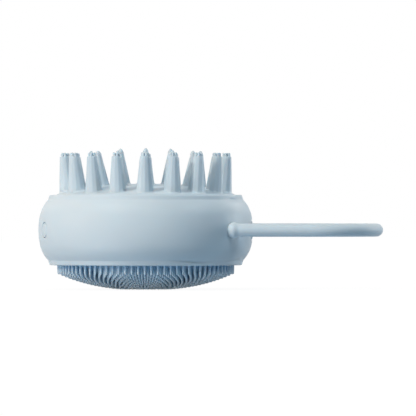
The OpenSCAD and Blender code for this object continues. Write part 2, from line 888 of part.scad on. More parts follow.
module motor_can() {
    color(steel) at_mid() difference() {
        union() {
            translate([0, 0, motor_floor]) cylinder(h = motor_h, r = motor_r);
            translate([0, 0, motor_top - 0.2]) cylinder(h = 1.5, r = motor_boss_r);
        }
        translate([0, 0, motor_floor - 1]) cylinder(h = motor_h + 1 - can_t, r = motor_r - can_t);
        cylinder(h = 10, r = bush_r, center = true);
    }
}

module motor_magnet() {
    color(rubber_grey) at_mid() tube(9.6, motor_r - can_t, motor_floor + 2.9, motor_top - 1.9);
}

module motor_end_cap() {
    color(black) at_mid() tube(bush_r, motor_r - can_t, motor_floor, motor_floor + 1.4);
}

module motor_bushes() {
    color(brass) at_mid() {
        tube(shaft_r + run_gap, bush_r, motor_top - can_t, motor_top + 1.3);
        tube(shaft_r + run_gap, bush_r, motor_floor, motor_floor + 1.7);
    }
}

// Two leaf brushes that stand on the end cap and reach in to the commutator
module motor_brushes() {
    color(copper) at_mid()
        for (turn = [0, 180])
            rotate(turn) {
                block(2.5, 9.2, 1.6, motor_floor + 2.2, motor_floor + 2.5);
                block(8.4, 9.2, 1.6, motor_floor + 1.4, motor_floor + 2.5);
            }
}

// Three poles with their windings, on the shaft
module motor_armature() {
    color(copper) at_mid() {
        translate([0, 0, motor_floor + 3.3]) linear_extrude(motor_h - 5.8) difference() {
            union() {
                circle(3.6);
                for (turn = [0, 120, 240])
                    rotate(turn) translate([2, -2.6]) square([6, 5.2]);
            }
            circle(shaft_r);
        }
        translate([0, 0, motor_floor + 3.9]) linear_extrude(motor_h - 7)
            for (turn = [0, 120, 240])
                rotate(turn) intersection() {
                    difference() {
                        circle(9.2);
                        circle(7.5);
                    }
                    translate([0, -6]) square([12, 12]);
                }
    }
}

module motor_commutator() {
    color(copper) at_mid() difference() {
        tube(shaft_r, 2.4, motor_floor + 1.9, motor_floor + 3.2);
        for (turn = [0, 120, 240])
            rotate(turn + 60) block(1.9, 3, 0.3, -30, 30);
    }
}

module motor_shaft() {
    color(steel) at_mid() translate([0, 0, motor_floor + 0.5]) cylinder(h = 9.6 - motor_floor - 0.5, r = shaft_r);
}

module eccentric_weight() {
    color(brass) at_mid() translate([0, 0, 2.4]) difference() {
        union() {
            cylinder(h = 6.5, r = 3.2);
            intersection() {
                cylinder(h = 6.5, r = weight_r);
                translate([0, -weight_r, 0]) cube([weight_r, 2 * weight_r, 6.5]);
            }
        }
        translate([0, 0, -1]) cylinder(h = 9, r = shaft_r);
    }
}

// Rubber cup that the motor sits in, with a slot for its leads
module motor_boot() {
    color(rubber_grey) at_mid() difference() {
        translate([0, 0, motor_floor - 1.3]) cylinder(h = motor_h - 2, r = motor_r + boot_t);
        translate([0, 0, motor_floor]) cylinder(h = motor_h, r = motor_r);
        at_az(lead_az) block(motor_r - 1, 20, 3.4, motor_floor + 0.5, 0);
    }
}

// Strap across the motor's top, screwed to two posts
module motor_clamp() {
    color(steel) at_mid() rotate([0, 0, clamp_az]) translate([0, 0, motor_top]) difference() {
        union() {
            cylinder(h = clamp_t, r = 9.5);
            block(-clamp_post_r, clamp_post_r, 8, 0, clamp_t);
            for (s = [-1, 1])
                translate([s * clamp_post_r, 0, 0]) cylinder(h = clamp_t, r = 4);
        }
        translate([0, 0, -1]) {
            cylinder(h = 5, r = motor_boss_r);
            for (s = [-1, 1])
                translate([s * clamp_post_r, 0, 0]) cylinder(h = 5, r = screw_r + 0.1);
        }
    }
}

module clamp_screws() {
    color(steel) at_mid()
        for (az = [clamp_az, clamp_az + 180])
            at_az(az, clamp_post_r) screw(motor_top + clamp_t, -6.5);
}

// ---------------------------------------------------------------- the massager

side_sleeve();
massage_head();
brush_pad();
brush_bristles();
button_cap();
port_cover();
cover_hinge();
carry_loop();
loop_anchors();
upper_shell();
lower_shell();
shell_seal();
shell_screws();
button_stem();
button_seal();
button_switch();
switch_plunger();
usb_shell();
usb_tongue();
port_gasket();
circuit_board();
board_screws();
microcontroller();
charger_chip();
power_inductor();
board_capacitors();
status_led();
battery_socket();
motor_socket();
battery_leads();
motor_leads();
battery_cell();
protection_board();
battery_pad();
motor_can();
motor_magnet();
motor_end_cap();
motor_bushes();
motor_brushes();
motor_armature();
motor_commutator();
motor_shaft();
eccentric_weight();
motor_boot();
motor_clamp();
clamp_screws();
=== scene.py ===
# %% [markdown]
# # A scalp massager in pale blue silicone
# The real object is a hard housing inside a skin of moulded silicone: a round side, a face of
# fluted tines, a brush of short bristles, a carrying loop, a button and a flap over the
# charging port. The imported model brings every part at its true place. This script replaces the
# parts that show with finer meshes and gives each part the finish that its real material has.

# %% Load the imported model
import json
import math

import bmesh
import bpy
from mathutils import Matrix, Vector

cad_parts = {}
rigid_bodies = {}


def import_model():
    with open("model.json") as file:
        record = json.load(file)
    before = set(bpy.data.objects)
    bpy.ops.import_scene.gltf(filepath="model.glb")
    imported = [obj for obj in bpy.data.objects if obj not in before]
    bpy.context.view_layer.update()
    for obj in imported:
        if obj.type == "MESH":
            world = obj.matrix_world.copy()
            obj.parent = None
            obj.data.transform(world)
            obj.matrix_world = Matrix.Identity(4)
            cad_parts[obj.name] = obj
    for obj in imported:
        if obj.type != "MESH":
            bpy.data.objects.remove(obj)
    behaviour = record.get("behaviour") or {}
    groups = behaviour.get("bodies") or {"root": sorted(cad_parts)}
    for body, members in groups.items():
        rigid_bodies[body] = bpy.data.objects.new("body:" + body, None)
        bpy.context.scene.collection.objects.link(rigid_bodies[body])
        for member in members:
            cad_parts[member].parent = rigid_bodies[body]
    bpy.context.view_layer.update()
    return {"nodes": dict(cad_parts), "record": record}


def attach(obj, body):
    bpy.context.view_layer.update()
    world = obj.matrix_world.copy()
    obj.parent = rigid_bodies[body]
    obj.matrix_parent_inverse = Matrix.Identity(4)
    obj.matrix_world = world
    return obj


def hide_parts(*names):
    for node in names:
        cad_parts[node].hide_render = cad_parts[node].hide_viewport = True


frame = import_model()

# %% [markdown]
# ## Units and the camera
# Lengths are written in millimetres, and heights are counted from the mid-plane of the body,
# because the upper and lower halves mirror each other there. The photograph was taken level,
# from far away with a long lens: near and far tines have the same width. So the camera stands
# 2.5 m away, and its lens follows from the width that the picture covers.

# %% Camera
MM = 0.001
MID_Z = 22.1
PICTURE_WIDTH = 155.0
CAMERA_DISTANCE = 2500.0
SENSOR_WIDTH = 36.0
PICTURE_CENTRE = (23.2, 8.2)  # along X, and above the mid-plane

camera_data = bpy.data.cameras.new("long_lens")
camera_data.sensor_width = SENSOR_WIDTH
camera_data.lens = SENSOR_WIDTH * CAMERA_DISTANCE / PICTURE_WIDTH
camera_data.clip_start, camera_data.clip_end = 0.1, 20.0
camera = bpy.data.objects.new("camera", camera_data)
camera.location = (PICTURE_CENTRE[0] * MM, -CAMERA_DISTANCE * MM, (MID_Z + PICTURE_CENTRE[1]) * MM)
camera.rotation_euler = (math.pi / 2, 0, 0)
bpy.context.scene.collection.objects.link(camera)
bpy.context.scene.camera = camera
bpy.context.scene.view_settings.view_transform = "Standard"
print("lens", round(camera_data.lens, 1), "mm")

# %% [markdown]
# ## How a piece is made
# Every piece is a mesh from a few lists of rings, so its size is a formula and not a guess. A
# solid is a pair: its points and its faces. One helper turns a solid into an object, gives it
# its finish, and lets it ride on the body that carries it. It shades the mesh smooth and keeps
# the edges that are really sharp.

# %% Helpers for meshes
SAME_POINT = 0.0005  # points nearer to each other than this are one
SLIVER = 0.0002  # edges shorter than this are dissolved
SHARP_ANGLE = 40.0  # degrees


def new_mesh(name, points, faces):
    """A clean mesh from points in millimetres over the mid-plane."""
    mesh = bpy.data.meshes.new(name)
    mesh.from_pydata([(x * MM, y * MM, (z + MID_Z) * MM) for x, y, z in points], [], faces)
    work = bmesh.new()
    work.from_mesh(mesh)
    bmesh.ops.remove_doubles(work, verts=work.verts, dist=SAME_POINT * MM)
    bmesh.ops.dissolve_degenerate(work, edges=work.edges, dist=SLIVER * MM)
    bmesh.ops.recalc_face_normals(work, faces=work.faces)
    work.to_mesh(mesh)
    work.free()
    return mesh


def shade(mesh, sharp_angle):
    """Smooth faces, with the edges that turn by more than sharp_angle kept sharp."""
    mesh.shade_smooth()
    work = bmesh.new()
    work.from_mesh(mesh)
    limit = math.radians(sharp_angle)
    for edge in work.edges:
        edge.smooth = len(edge.link_faces) == 2 and edge.calc_face_angle(0) < limit
    work.to_mesh(mesh)
    work.free()


def make_piece(name, solid, finish, body="housing", stands_for=(), sharp_angle=SHARP_ANGLE):
    """An object from a solid, with its finish and the body that it rides on."""
    mesh = new_mesh(name, *solid)
    shade(mesh, sharp_angle)
    mesh.materials.append(finish)
    piece = bpy.data.objects.new(name, mesh)
    bpy.context.scene.collection.objects.link(piece)
    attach(piece, body)
    if stands_for:
        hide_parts(*stands_for)
    return piece


# %% Helpers for shapes
def skin_rings(rings, cap_ends=False):
    """A solid whose faces run between rings with the same number of points."""
    count = len(rings[0])
    points = [point for ring in rings for point in ring]
    faces = []
    for start in range(0, (len(rings) - 1) * count, count):
        for i in range(count):
            j = (i + 1) % count
            faces.append((start + i, start + j, start + count + j, start + count + i))
    if cap_ends:
        faces.append(tuple(range(count))[::-1])
        faces.append(tuple(range((len(rings) - 1) * count, len(rings) * count)))
    return points, faces


def revolve(profile, segments):
    """A closed profile of (radius, height) turned round the body's axis."""
    rings = []
    for k in range(segments):
        angle = 2 * math.pi * k / segments
        rings.append([(r * math.cos(angle), r * math.sin(angle), z) for r, z in profile])
    rings.append(rings[0])
    return skin_rings(rings)


def together(*solids):
    """Several closed solids as one."""
    points, faces = [], []
    for more_points, more_faces in solids:
        offset = len(points)
        faces += [tuple(index + offset for index in face) for face in more_faces]
        points += more_points
    return points, faces


def circle_points(radius, count):
    angles = [2 * math.pi * i / count for i in range(count)]
    return [(radius * math.cos(angle), radius * math.sin(angle)) for angle in angles]


def lerp(a, b, t):
    return a + (b - a) * t


def radial_line(height_at, reach, steps):
    """Points (radius, height) from the body's axis out to reach."""
    radii = [reach * i / steps for i in range(steps + 1)]
    return [(radius, height_at(radius)) for radius in radii]


# %% [markdown]
# ## Silicone
# The outside is liquid silicone rubber, moulded in a finely sandblasted steel tool. Such rubber
# has an IOR near 1.41, a dull satin surface, and lets a little light wander inside, which
# softens every edge. The deeper blue that light takes on in the gaps of the brush is painted
# shade in the brush's colour. Colour comes from a hex value, which one function turns from sRGB
# to linear light. A node is added by one small function.

# %% Helpers for finishes
def linear(hex_value):
    """Linear red, green, blue and alpha from an sRGB hex value."""
    channels = [int(hex_value[i : i + 2], 16) / 255 for i in (1, 3, 5)]
    return [c / 12.92 if c <= 0.04045 else ((c + 0.055) / 1.055) ** 2.4 for c in channels] + [1.0]


def new_finish(name):
    """A material, its node tree and its shader."""
    material = bpy.data.materials.new(name)
    material.use_nodes = True
    tree = material.node_tree
    return material, tree, tree.nodes["Principled BSDF"]


def add_node(tree, kind, settings=None, **links):
    """A node of that kind. A setting named after a socket sets the socket, and a link feeds it."""
    node = tree.nodes.new(kind)
    for key, value in (settings or {}).items():
        if isinstance(key, int) or key in node.inputs:
            node.inputs[key].default_value = value
        else:
            setattr(node, key, value)
    for key, source in links.items():
        tree.links.new(source, node.inputs[key.replace("_", " ")])
    return node


def calculate(tree, operation, *values):
    """The result of a Math node, whose values are numbers or the outputs of other nodes."""
    node = add_node(tree, "ShaderNodeMath", {"operation": operation})
    for socket, value in zip(node.inputs, values):
        if isinstance(value, float):
            socket.default_value = value
        else:
            tree.links.new(value, socket)
    return node.outputs["Value"]


def surface_grain(tree, shader, grain_mm, depth_mm, roughness, spread):
    """Fine relief and uneven gloss at a real grain size, in millimetres."""
    place = add_node(tree, "ShaderNodeTexCoord")
    noise = {"Scale": 1 / (grain_mm * MM), "Detail": 3.0}
    grain = add_node(tree, "ShaderNodeTexNoise", noise, Vector=place.outputs["Object"])
    relief = {"Strength": 1.0, "Distance": depth_mm * MM}
    bump = add_node(tree, "ShaderNodeBump", relief, Height=grain.outputs["Fac"])
    tree.links.new(bump.outputs["Normal"], shader.inputs["Normal"])
    uneven = {
        "From Min": 0.3, "From Max": 0.7,
        "To Min": roughness - spread, "To Max": roughness + spread,
    }
    gloss = add_node(tree, "ShaderNodeMapRange", uneven, Value=grain.outputs["Fac"])
    tree.links.new(gloss.outputs["Result"], shader.inputs["Roughness"])
    return place


def mottle(tree, shader, place, size_mm, pale, deep):
    """Two near colours in soft clouds of a real size."""
    noise = {"Scale": 1 / (size_mm * MM), "Detail": 2.0}
    clouds = add_node(tree, "ShaderNodeTexNoise", noise, Vector=place.outputs["Object"])
    ramp = add_node(tree, "ShaderNodeValToRGB", Fac=clouds.outputs["Fac"])
    for end, position, colour in zip(ramp.color_ramp.elements, (0.3, 0.7), (deep, pale)):
        end.position, end.color = position, linear(colour)
    tree.links.new(ramp.outputs["Color"], shader.inputs["Base Color"])
    return ramp


# %% Moulded silicone
SILICONE_IOR = 1.41
LIGHT_INSIDE = 0.25  # share of the light that wanders inside the rubber
LIGHT_REACH = 1.2  # how far it wanders at most, in mm
LIGHT_REACH_RGB = (0.5, 0.8, 1.0)  # blue wanders furthest
SILICONE_PALE = "#c7d6de"
SILICONE_DEEP = "#c3d3dc"
PAINTED_BRISTLE_SHADE = "#a0c2da"  # painted shade: the deeper blue that light takes on between bristles


def moulded_silicone(name, pale, deep, roughness):
    """The finish, and the nodes of it that another finish can build on."""
    material, tree, shader = new_finish(name)
    shader.inputs["IOR"].default_value = SILICONE_IOR
    shader.inputs["Subsurface Weight"].default_value = LIGHT_INSIDE
    shader.inputs["Subsurface Radius"].default_value = LIGHT_REACH_RGB
    shader.inputs["Subsurface Scale"].default_value = LIGHT_REACH * MM
    # the blasted tool leaves a grain near 0.05 mm, too fine to show, so it is drawn at 0.4 mm
    place = surface_grain(
        tree, shader, grain_mm=0.4, depth_mm=0.012, roughness=roughness, spread=0.03
    )
    ramp = mottle(tree, shader, place, size_mm=18, pale=pale, deep=deep)
    return material, tree, shader, place, ramp


silicone_skin = moulded_silicone("moulded_silicone_skin", SILICONE_PALE, SILICONE_DEEP, 0.43)[0]
silicone_loop = moulded_silicone("moulded_silicone_loop", SILICONE_PALE, SILICONE_DEEP, 0.44)[0]
silicone_tines = moulded_silicone("moulded_silicone_tines", "#c6d6df", "#c1d2dc", 0.42)[0]
for finish in (silicone_skin, silicone_loop, silicone_tines):
    print("finish", finish.name)

# %% [markdown]
# ## The outline of the side
# Seen from the front, the side is a barrel: a flat arc of 26 mm radius at the middle that
# hands over to a tighter shoulder of 12 mm. Each end closes in a low lip, 13.1 mm from the
# mid-plane, with a soft hollow under it. The same function serves the sleeve, the button and
# the flap, so that all three lie in one surface.

# %% Barrel outline
SIDE_RADIUS = 26.0
SIDE_CENTRE = 14.0
BLEND_ANGLE = math.radians(12.2)
SHOULDER_RADIUS = 12.0
SHOULDER_CENTRE = (27.684, 2.959)


def wall_radius(z, inset=0.0):
    """Radius of the side at height z, moved inwards by inset."""
    side = SIDE_RADIUS - inset
    if abs(z) <= side * math.sin(BLEND_ANGLE):
        return SIDE_CENTRE + math.sqrt(side * side - z * z)
    shoulder = SHOULDER_RADIUS - inset
    rise = abs(z) - SHOULDER_CENTRE[1]
    return SHOULDER_CENTRE[0] + math.sqrt(max(shoulder * shoulder - rise * rise, 0.0))


def barrel_point(y, z, proud=0.0):
    """The X of the side over (y, z), on its +X half."""
    radius = wall_radius(z) + proud
    return math.sqrt(radius * radius - y * y)


print("widest radius", wall_radius(0.0))

# %% [markdown]
# ## The sleeve
# The real sleeve is one ring of silicone stretched over the housing. A revolved profile gives
# it with its lips. Where it is stretched it has two soft folds: one at its lower neck and a
# shorter one at its upper neck.

# %% Sleeve
NECK = 10.9  # height where the barrel hands over to the lip
LIP_TOP = 13.08
TUCK = 10.6  # height where the lip meets the inner wall
SLEEVE_THICKNESS = 2.2
WALL_STEPS = 44
INNER_STEPS = 16
SLEEVE_SEGMENTS = 288

outer_wall = [
    (wall_radius(z), z) for z in (lerp(-NECK, NECK, i / WALL_STEPS) for i in range(WALL_STEPS + 1))
]
lip_outline = [
    (36.56, 11.05), (36.44, 11.2), (36.35, 11.38), (36.27, 11.6), (36.18, 11.9), (36.08, 12.25),
    (35.98, 12.6), (35.9, 12.8), (35.77, 12.95), (35.6, 13.04), (35.4, LIP_TOP), (34.6, LIP_TOP),
    (33.62, LIP_TOP), (33.45, 13.03), (33.34, 12.92), (33.3, 12.75), (33.3, 12.0), (34.9, 12.0),
    (34.9, TUCK),
]
inner_wall = [
    (wall_radius(z, SLEEVE_THICKNESS), z)
    for z in (lerp(TUCK, -TUCK, i / INNER_STEPS) for i in range(INNER_STEPS + 1))
]
sleeve_profile = (
    outer_wall + lip_outline + inner_wall + [(r, -z) for r, z in reversed(lip_outline)]
)

# each fold: azimuth, half its length in degrees, height, slope over its length, depth
FOLDS = [(-61.0, 10.0, -11.55, -0.3, 0.6), (-27.0, 7.0, 11.35, -0.35, 0.4)]
FOLD_HALF_WIDTH = 0.42
OUTER_SKIN = 35.8  # only the skin outside this radius folds


def folded(x, y, z):
    """The point moved inwards where it lies in a fold."""
    if math.hypot(x, y) <= OUTER_SKIN:
        return x, y, z
    azimuth, pull = math.degrees(math.atan2(y, x)), 0.0
    for centre, half_length, height, slope, fold_depth in FOLDS:
        along = (azimuth - centre) / half_length
        across = (z - height - slope * along) / FOLD_HALF_WIDTH
        pull += fold_depth * math.exp(-(along**2) - across**2)
    share = 1 - pull / math.hypot(x, y)
    return x * share, y * share, z


points, faces = revolve(sleeve_profile, SLEEVE_SEGMENTS)
points = [folded(*point) for point in points]
sleeve = make_piece("skin_sleeve", (points, faces), silicone_skin, stands_for=["side_sleeve"])
print("sleeve profile has", len(sleeve_profile), "points")

# %% [markdown]
# ## Holes in the sleeve
# The holes for the button, the port and the loop are cut with exact booleans, which keeps each
# hole's true outline on the curved wall. The cutter of the button's hole flares at its mouth,
# because a moulded edge is never sharp. The loop's hole has the shape of the bead that fills it.

# %% Helpers for holes and plugs
ROD_SIDES = 96


def turned_rod(stations):
    """A rod along X from stations of (x, radius)."""
    rings = [[(x, y, z) for y, z in circle_points(r, ROD_SIDES)] for x, r in stations]
    return skin_rings(rings, cap_ends=True)


def prism(outline, x0, x1):
    """An outline of (y, z) drawn out along X."""
    return skin_rings([[(x, y, z) for y, z in outline] for x in (x0, x1)], cap_ends=True)


def stadium_outline(length, height, count=64):
    """Points round a slot with half-round ends, as (y, z)."""
    radius = height / 2
    reach = length / 2 - radius
    outline = []
    for i in range(count):
        angle = 2 * math.pi * (i + 0.5) / count
        side = reach if math.cos(angle) > 0 else -reach
        outline.append((side + radius * math.cos(angle), radius * math.sin(angle)))
    return outline


def turned(solid, azimuth):
    """A solid drawn round +X, turned to an azimuth."""
    points, faces = solid
    c, s = math.cos(math.radians(azimuth)), math.sin(math.radians(azimuth))
    return [(x * c - y * s, x * s + y * c, z) for x, y, z in points], faces


def combine(piece, solids, operation, solver):
    """Cuts closed solids out of the piece or joins them to it, and keeps the result."""
    tools = bpy.data.collections.new(piece.name + "_tools")
    bpy.context.scene.collection.children.link(tools)
    for index, (points, faces) in enumerate(solids):
        mesh = new_mesh(f"tool_{index}", points, faces)
        tools.objects.link(bpy.data.objects.new(f"tool_{index}", mesh))
    step = piece.modifiers.new("combine", "BOOLEAN")
    step.operation, step.solver = operation, solver
    step.operand_type, step.collection = "COLLECTION", tools
    bpy.context.view_layer.update()
    result = piece.evaluated_get(bpy.context.evaluated_depsgraph_get())
    mesh = bpy.data.meshes.new_from_object(result)
    piece.modifiers.clear()
    piece.data = mesh
    for tool in list(tools.objects):
        bpy.data.objects.remove(tool)
    bpy.data.collections.remove(tools)
    shade(mesh, SHARP_ANGLE)


# %% Bead of the loop
LOOP_RADIUS = 2.45
BEAD_RADIUS = 2.92
BEAD_X = 32.7
BEAD_FROM, BEAD_TO = 30.0, 35.6
BEAD_STEPS = 32
BEAD_ROUNDING = 0.1  # how fast the bead narrows inside the skin
BEAD_NECK = 2.2
BEAD_RUN_OUT = 1.05

# the bead swells out of the skin and runs out into the cord, as stations of (x, radius)
bead_stations = []
for i in range(BEAD_STEPS + 1):
    x = lerp(BEAD_FROM, BEAD_TO, i / BEAD_STEPS)
    swell = BEAD_RADIUS - BEAD_ROUNDING * (BEAD_X - x) ** 2
    fade = math.exp(-(((x - BEAD_X) / BEAD_RUN_OUT) ** 2))
    run_out = LOOP_RADIUS + (BEAD_RADIUS - LOOP_RADIUS) * fade
    bead_stations.append((x, max(swell, BEAD_NECK) if x < BEAD_X else run_out))
print("bead stations", len(bead_stations))

# %% Cut-outs
INSIDE, OUTSIDE = 30.0, 44.0  # an X inside the wall and one outside it
BUTTON_AZIMUTH = 200.0
FLAP_LENGTH, FLAP_HEIGHT = 17.0, 7.1
LEG_Y = 23.75
SQUEEZE = 0.06  # the loop is thicker than its hole, which seals it

RECESS_X = 38.45  # floor of the flap's recess
STRAP_SLOT_X = 37.9

button_hole = [  # stations of (x, radius), with the flare of its mouth at the end
    (INSIDE, 2.9), (39.5, 2.9), (39.72, 2.94), (39.88, 3.05), (40.05, 3.3), (OUTSIDE, 3.3),
]
button_flange_room = [(INSIDE, 3.8), (38.7, 3.8)]
flap_recess = stadium_outline(17.6, 7.7)  # 0.3 mm of groove round the flap
plug_hole = stadium_outline(10.2, 4.5)
strap_slot = [(8.0, -1.75), (11.45, -1.75), (11.45, 1.75), (8.0, 1.75)]
loop_hole = turned_rod([
    (x, r - SQUEEZE) for x, r in [(20.0, LOOP_RADIUS)] + bead_stations + [(45.0, LOOP_RADIUS)]
])

cutters = [
    turned(turned_rod(button_hole), BUTTON_AZIMUTH),
    turned(turned_rod(button_flange_room), BUTTON_AZIMUTH),
    prism(flap_recess, RECESS_X, OUTSIDE),
    prism(plug_hole, INSIDE, 39.0),
    prism(strap_slot, STRAP_SLOT_X, OUTSIDE),
]
for leg_y in (-LEG_Y, LEG_Y):
    points, faces = loop_hole
    cutters.append(([(x, y + leg_y, z) for x, y, z in points], faces))
combine(sleeve, cutters, "DIFFERENCE", "EXACT")
print("sleeve faces", len(sleeve.data.polygons))

# %% [markdown]
# ## The massage face
# One dome of silicone carries all the tines. A tine is a cone with twelve shallow flutes, and
# its foot runs out onto the dome in a small hollow, as a cutter leaves it in the mould. The
# tines of the inner rings end in rounded points; those of the outer ring end in a crown of
# little teats round a pit. Each tine is a stack of rings whose lowest one follows the dome, and
# one boolean joins them all.

# %% Dome
DOME_TOP = 17.25
DOME_DROP = 3.99
DOME_REACH = 33.3
DOME_POWER = 2.8
DOME_EDGE = 33.0  # where the dome turns over into its rim
DOME_SEGMENTS = 160
FACE_THICKNESS = 2.2  # of the dome and of the brush's backing
ROOM_RADIUS = 31.6  # inside of both their rims
ROOM_STEPS = 20


def dome_z(radius):
    return DOME_TOP - DOME_DROP * (radius / DOME_REACH) ** DOME_POWER


dome_top = radial_line(dome_z, DOME_EDGE, steps=40)
dome_rim = [
    (33.12, 13.24), (33.18, 13.12), (33.2, 12.9), (33.2, 12.0), (34.8, 12.0), (34.8, TUCK),
    (ROOM_RADIUS, TUCK),
]
dome_room = radial_line(dome_z, ROOM_RADIUS, ROOM_STEPS)
dome_under = [(r, z - FACE_THICKNESS) for r, z in reversed(dome_room)]
dome_profile = dome_top + dome_rim + dome_under
print("dome profile has", len(dome_profile), "points")

# %% Tines
TINE_SIDES = 72
TINE_LEVELS = 14
FLUTES = 12
FLUTE_DEPTH = 0.032
FOOT_RADIUS = 3.2
FOOT_HOLLOW = 0.55
FOOT_CROWDING = 1.7  # draws the levels together near the foot
ROOT_DEPTH = 0.9  # how far a tine's root goes into the dome
ROOT_SINK = 0.02
TINE_RINGS = [
    {"count": 1, "radius": 0.0, "lean": 0.0, "tip": 30.6},
    {"count": 6, "radius": 10.3, "lean": 2.2, "tip": 30.3},
    {"count": 12, "radius": 19.3, "lean": 5.4, "tip": 29.5},
    {"count": 18, "radius": 29.3, "lean": 5.5, "tip": 28.7},
]


def fluted(radius, angle, depth=FLUTE_DEPTH):
    """Radius of a rod with soft flutes along it."""
    return radius * (1 - depth * (1 - math.cos(FLUTES * angle)) / 2)


def tine_body(ring, azimuth, shoulder_z, shoulder_radius):
    """Rings from under the dome up to the shoulder, and the shoulder's place."""
    c, s = math.cos(azimuth), math.sin(azimuth)
    foot_z = dome_z(ring["radius"])
    lean = math.tan(math.radians(ring["lean"]))
    taper = (FOOT_RADIUS - shoulder_radius) / (shoulder_z - foot_z)

    def point(angle, z, swell):
        out = ring["radius"] + lean * (z - foot_z)
        radius = fluted(shoulder_radius + taper * (shoulder_z - z), angle) + swell
        x, y = out + radius * math.cos(angle), radius * math.sin(angle)
        return x * c - y * s, x * s + y * c

    rings = []
    for level in range(TINE_LEVELS + 1):
        share = (level / TINE_LEVELS) ** FOOT_CROWDING
        row = []
        for i in range(TINE_SIDES):
            angle = 2 * math.pi * i / TINE_SIDES
            z = foot_z
            for _ in range(4):  # the dome's height and the point's place settle together
                x, y = point(angle, z, 0.0)
                skin_z = dome_z(math.hypot(x, y))
                z = lerp(skin_z, shoulder_z, share)
            rise = z - skin_z
            swell = 0.0
            if rise < FOOT_HOLLOW:
                swell = FOOT_HOLLOW - math.sqrt(FOOT_HOLLOW**2 - (FOOT_HOLLOW - rise) ** 2)
            x, y = point(angle, z, swell)
            if level == 0:
                z = dome_z(math.hypot(x, y)) - ROOT_SINK
            row.append((x, y, z))
        rings.append(row)
    rings.insert(0, [(x, y, z - ROOT_DEPTH) for x, y, z in rings[0]])
    top_out = ring["radius"] + lean * (shoulder_z - foot_z)
    return rings, (top_out * c, top_out * s)


def ring_at(centre, turn, radii, z):
    """A level ring round a centre, turned about it."""
    count = len(radii)
    return [
        (centre[0] + radii[i] * math.cos(2 * math.pi * i / count + turn),
         centre[1] + radii[i] * math.sin(2 * math.pi * i / count + turn), z)
        for i in range(count)
    ]


def fluted_ring(centre, turn, radius, depth, z):
    radii = [fluted(radius, 2 * math.pi * i / TINE_SIDES, depth) for i in range(TINE_SIDES)]
    return ring_at(centre, turn, radii, z)


# %% Pointed tines
POINT_RADIUS = 1.06
POINT_HEIGHT = 1.75
POINT_STATIONS = [  # (share of the point's height, share of its radius)
    (0.12, 0.985), (0.26, 0.94), (0.42, 0.86), (0.58, 0.74), (0.72, 0.6), (0.84, 0.44),
    (0.93, 0.28), (0.985, 0.12),
]
POINT_END = 0.02


def pointed_tine(ring, azimuth):
    """Inner tine: the cone runs out in a rounded point."""
    neck_z = ring["tip"] - POINT_HEIGHT
    rings, centre = tine_body(ring, azimuth, neck_z, POINT_RADIUS)
    for share, width in POINT_STATIONS:
        flutes, z = FLUTE_DEPTH * (1 - share), neck_z + POINT_HEIGHT * share
        rings.append(fluted_ring(centre, azimuth, POINT_RADIUS * width, flutes, z))
    rings.append(ring_at(centre, azimuth, [POINT_END] * TINE_SIDES, ring["tip"]))
    return [skin_rings(rings, cap_ends=True)]


# %% Crowned tines
CROWN_RADIUS = 1.86
CROWN_HEIGHT = 1.45
CROWN_EDGE = 0.12  # height over which the crown's rim is rounded
CROWN_STATIONS = [  # (share of the crown's radius, height): over the rim and into the pit
    (0.985, -0.05), (0.95, -0.01), (0.9, 0.0), (0.36, 0.0), (0.3, -0.05), (0.27, -0.5),
    (0.2, -0.75),
]
TEATS = 6
TEAT_SIDES = 16
TEAT_RADIUS = 0.52
TEAT_CIRCLE = 1.06
TEAT_WAIST = 0.97
TEAT_STEPS = 8


def teat_column():
    """A teat as (share of its radius, height), from its root to its round top."""
    column = [(1.12, -0.3), (1.08, 0.0), (1.0, 0.15), (TEAT_WAIST, CROWN_HEIGHT - TEAT_RADIUS)]
    for step in range(1, TEAT_STEPS):
        turn = math.radians(90 * step / TEAT_STEPS)
        top = CROWN_HEIGHT - TEAT_RADIUS * (1 - math.sin(turn))
        column.append((TEAT_WAIST * math.cos(turn), top))
    return column + [(0.04, CROWN_HEIGHT)]


def crowned_tine(ring, azimuth):
    """Outer tine: a flat rim with a pit, and round teats standing on it."""
    crown_z = ring["tip"] - CROWN_HEIGHT
    rings, centre = tine_body(ring, azimuth, crown_z - CROWN_EDGE, CROWN_RADIUS)
    for width, z in CROWN_STATIONS:
        depth = FLUTE_DEPTH * width
        rings.append(fluted_ring(centre, azimuth, CROWN_RADIUS * width, depth, crown_z + z))
    solids = [skin_rings(rings, cap_ends=True)]
    for i in range(TEATS):
        angle = azimuth + math.radians(360 / TEATS * i + 30)
        x = centre[0] + TEAT_CIRCLE * math.cos(angle)
        y = centre[1] + TEAT_CIRCLE * math.sin(angle)
        teat = [
            ring_at((x, y), 0.0, [TEAT_RADIUS * width] * TEAT_SIDES, crown_z + z)
            for width, z in teat_column()
        ]
        solids.append(skin_rings(teat, cap_ends=True))
    return solids


# %% Join the tines to the dome
massage_face = make_piece(
    "massage_face", revolve(dome_profile, DOME_SEGMENTS), silicone_tines,
    stands_for=["massage_head"],
)
solids = []
for ring in TINE_RINGS:
    make_tine = crowned_tine if ring is TINE_RINGS[-1] else pointed_tine
    for i in range(ring["count"]):
        solids += make_tine(ring, math.radians(-90 + 360 * i / ring["count"]))
combine(massage_face, solids, "UNION", "MANIFOLD")
print("massage face:", len(solids), "solids joined,", len(massage_face.data.polygons), "faces")

# %% [markdown]
# ## The brush
# The brush is a shallow bowl of silicone with short round-tipped bristles. Its outer rings
# have 84 bristles each, every ring turned half a step against its neighbour; nearer the middle
# a ring has half as many, so that they never touch. The bristles are too many for booleans, so
# each one is a closed peg whose root is sunk in the backing.

# %% Bowl of the brush
BRUSH_LOWEST = -22.4
BRUSH_DEPTH = 6.2
BRUSH_REACH = 33.05
BRUSH_POWER = 2.5
BACKING_EDGE = 33.1  # where the backing turns over into its flange
BRISTLE_LENGTH = 3.5


def bowl_z(radius):
    return BRUSH_LOWEST + BRUSH_DEPTH * (radius / BRUSH_REACH) ** BRUSH_POWER


